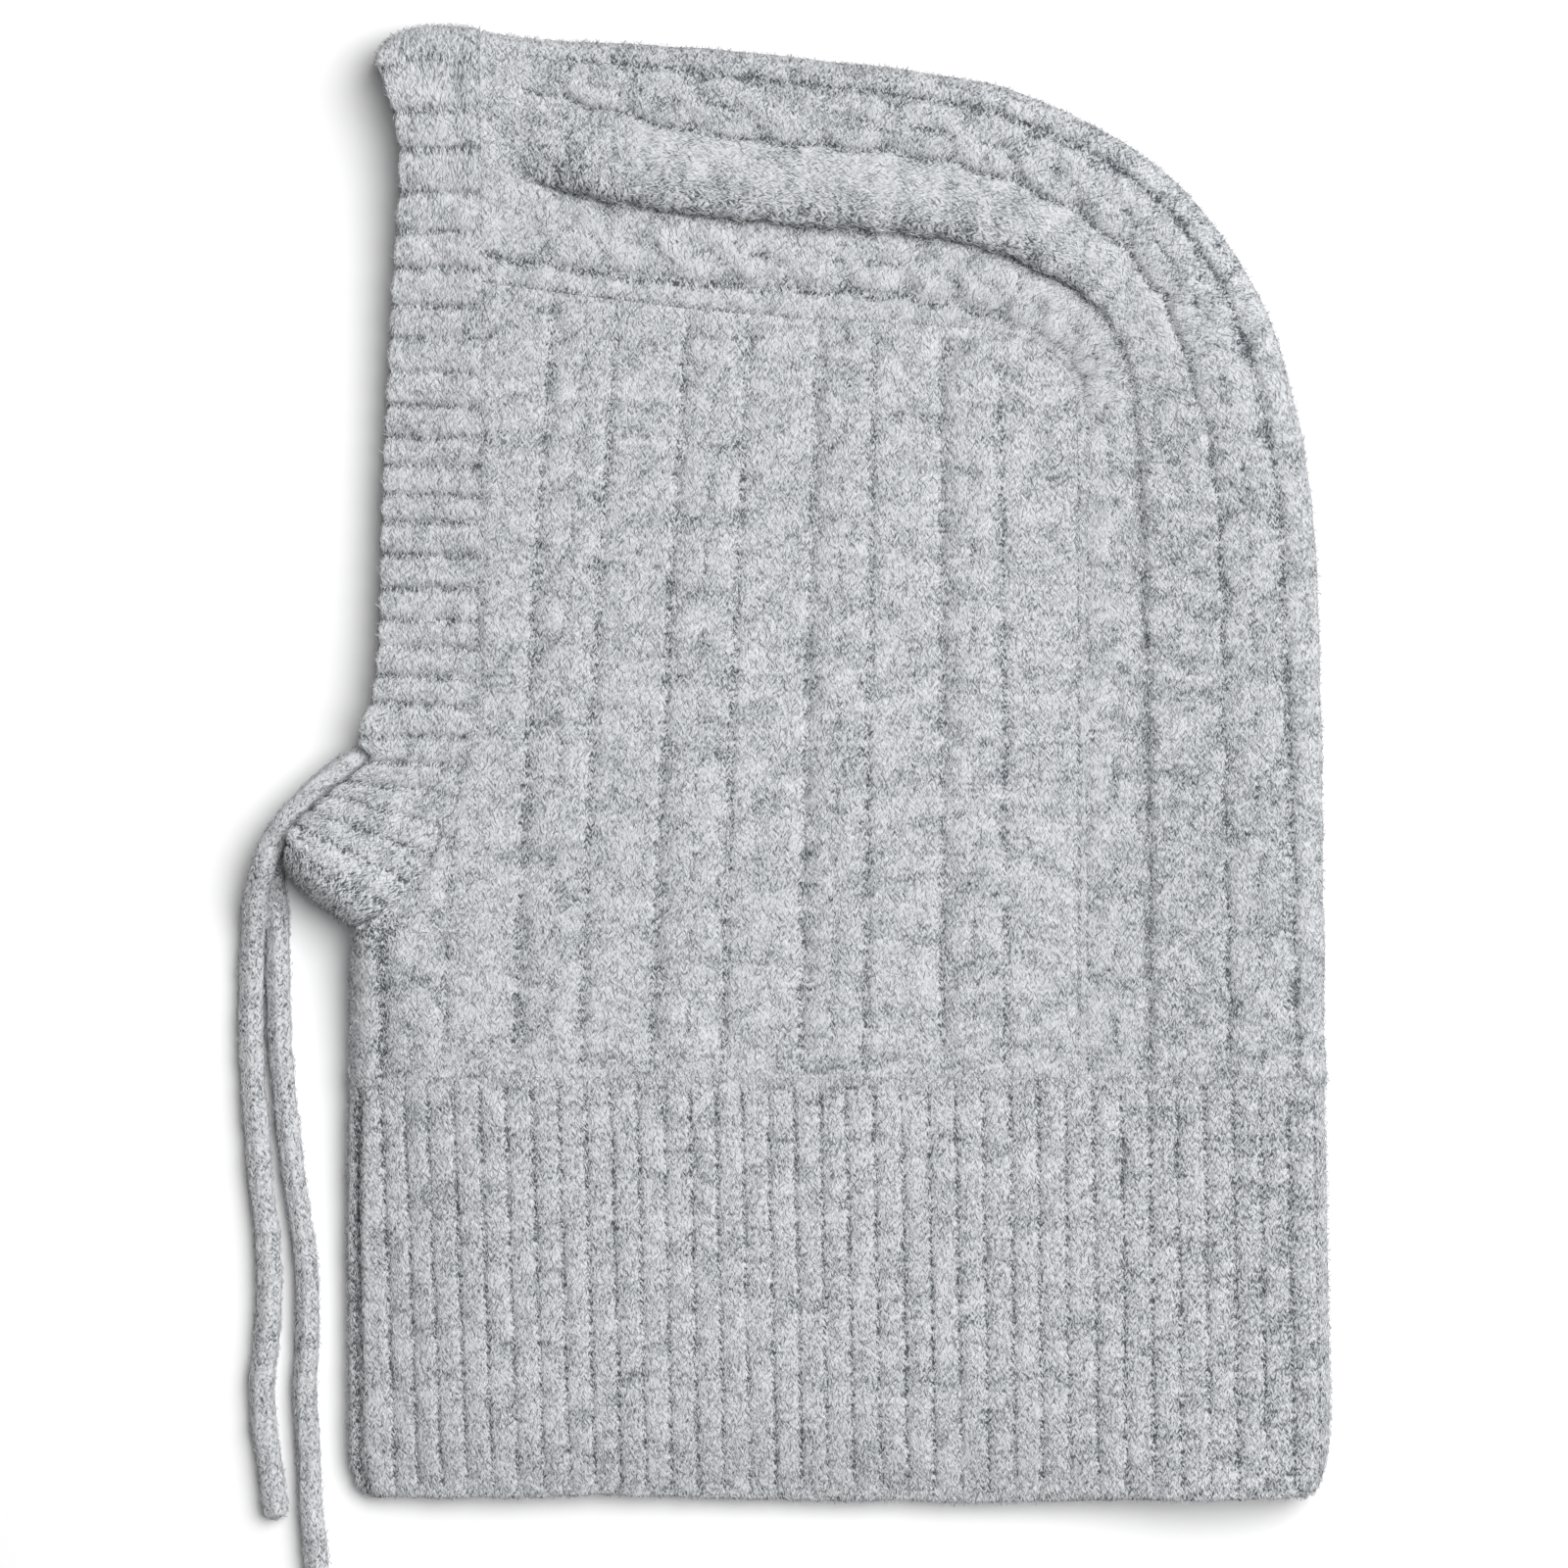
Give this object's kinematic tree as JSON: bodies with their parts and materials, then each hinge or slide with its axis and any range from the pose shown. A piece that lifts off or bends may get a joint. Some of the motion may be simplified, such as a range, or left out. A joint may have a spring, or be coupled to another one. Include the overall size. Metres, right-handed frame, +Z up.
{
  "type": "knit balaclava",
  "caption": "Knit hood with a ribbed neck and a ribbed band round the face opening, two drawcord ends at the chin, lying flat on its side.",
  "frame": {"origin": "centre of the flat-lying hood's footprint without the cords, on the surface it lies on", "axes": "+Z up from the surface to the upper layer, +Y from the hem to the crown, -X towards the face opening, +X towards the back of the head"},
  "size_m": [0.2998, 0.4321, 0.0153],
  "materials": {
    "neck_rib": "brushed marled rib knit",
    "hood_body": "brushed marled cable knit",
    "crown_panel": "brushed marled cable knit",
    "face_band": "brushed marled rib knit",
    "drawcord_upper": "brushed marled knitted cord",
    "drawcord_under": "brushed marled knitted cord"
  },
  "bodies": {
    "root": {"neck_rib": "neck_rib", "hood_body": "hood_body", "crown_panel": "crown_panel", "face_band": "face_band", "drawcord_upper": "drawcord_upper", "drawcord_under": "drawcord_under"}
  },
  "joints": []
}
